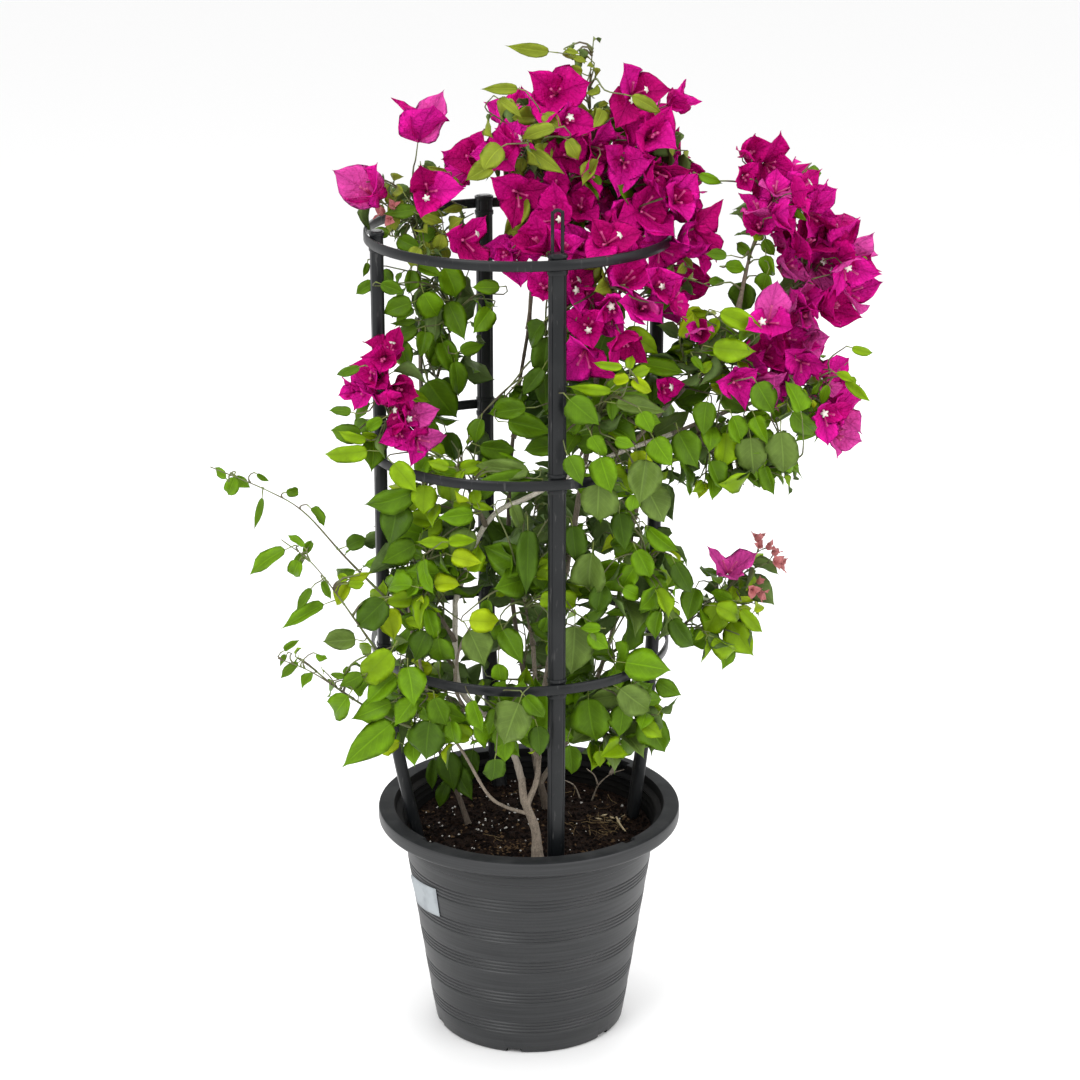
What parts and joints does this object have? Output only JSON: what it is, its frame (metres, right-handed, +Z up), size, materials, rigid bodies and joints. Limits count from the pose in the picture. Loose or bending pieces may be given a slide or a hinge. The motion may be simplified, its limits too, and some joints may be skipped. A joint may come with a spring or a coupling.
{
  "type": "potted bougainvillea bush",
  "caption": "Flowering bougainvillea with magenta bracts in a round ribbed nursery pot, its canes trained up a hoop cage that stands in the soil.",
  "frame": {"origin": "middle of the pot's flat underside", "axes": "+Z up, -Y the front that the picture shows, +X to its right"},
  "size_m": [0.6186, 0.3327, 0.9988],
  "materials": {
    "pot_plastic": "dull moulded charcoal plastic",
    "cage_plastic": "black plastic with a soft shine",
    "soil": "damp dark brown potting mix",
    "bark": "pale grey-brown bark, finely furrowed",
    "foliage": "soft green leaves with a slight sheen",
    "blossom": "papery magenta bracts"
  },
  "bodies": {
    "root": {"pot": "pot_plastic", "soil": "soil", "pole_front": "cage_plastic", "pole_right": "cage_plastic", "pole_back": "cage_plastic", "pole_left": "cage_plastic", "hoop_low": "cage_plastic", "hoop_middle": "cage_plastic", "hoop_top": "cage_plastic", "trunk": "bark", "rear_trunk": "bark", "left_stem": "bark", "side_branch": "bark", "left_cane": "bark", "right_bough": "bark", "front_cane": "bark", "centre_cane": "bark", "crown_cane": "bark", "right_cane": "bark", "back_cane": "bark", "upper_left_cane": "bark", "right_rise": "bark", "right_reach": "bark", "right_droop": "bark", "low_left": "foliage", "low_front": "foliage", "low_right": "foliage", "low_back": "foliage", "low_back_left": "foliage", "mid_left": "foliage", "mid_front": "foliage", "mid_right": "foliage", "mid_back": "foliage", "mid_back_left": "foliage", "mid_core": "foliage", "front_left": "foliage", "front_right": "foliage", "upper_right": "foliage", "upper_core": "foliage", "upper_back": "foliage", "upper_left": "foliage", "left_blossom": "blossom", "crown_left": "blossom", "crown_middle": "blossom", "crown_top": "blossom", "crown_right": "blossom", "crown_front": "blossom", "crown_link": "blossom", "crown_back": "blossom", "right_leaves": "foliage", "right_low_blossom": "blossom", "right_top_blossom": "blossom", "right_blossom": "blossom", "right_inner": "foliage", "spray_left_high": "foliage", "spray_left_mid": "foliage", "spray_left_low": "foliage", "spray_right": "foliage"}
  },
  "joints": []
}
